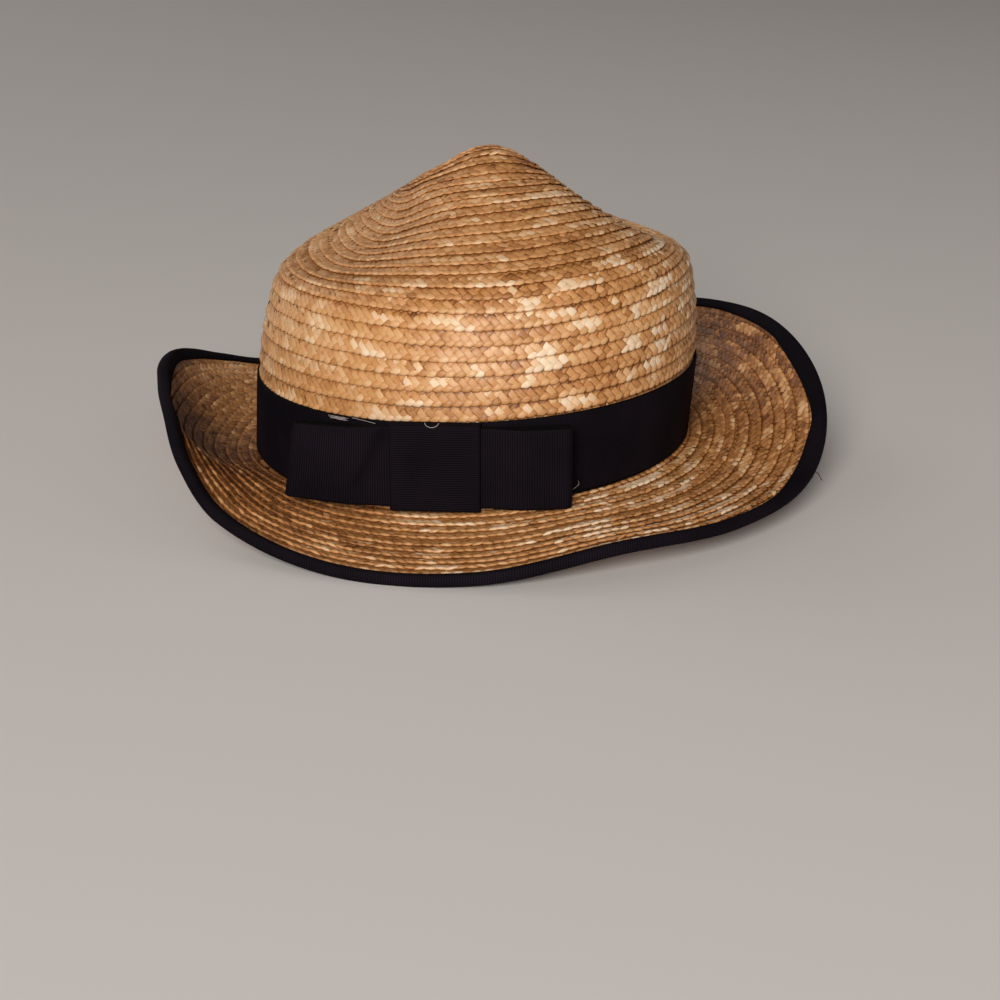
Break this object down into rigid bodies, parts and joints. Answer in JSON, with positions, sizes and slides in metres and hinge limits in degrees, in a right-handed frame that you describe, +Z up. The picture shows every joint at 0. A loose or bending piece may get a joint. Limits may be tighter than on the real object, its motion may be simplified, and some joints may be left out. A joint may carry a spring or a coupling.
{
  "type": "straw fedora",
  "caption": "Straw fedora of sewn braid with a pinched, peaked crown, a curled brim edged in black ribbon, and a ribbed black band tied off with a flat bow.",
  "frame": {"origin": "on the surface the hat rests on, under the middle of its outline", "axes": "+Z up through the crown, -Y toward the front of the hat, +X toward the wearer's left"},
  "size_m": [0.2598, 0.2994, 0.1266],
  "materials": {
    "straw": "satin plaited straw",
    "ribbon": "matte ribbed"
  },
  "bodies": {
    "root": {"crown": "straw", "brim": "straw", "hat_band": "ribbon", "brim_binding": "ribbon", "bow_loop_left": "ribbon", "bow_loop_right": "ribbon", "bow_knot": "ribbon"}
  },
  "joints": []
}
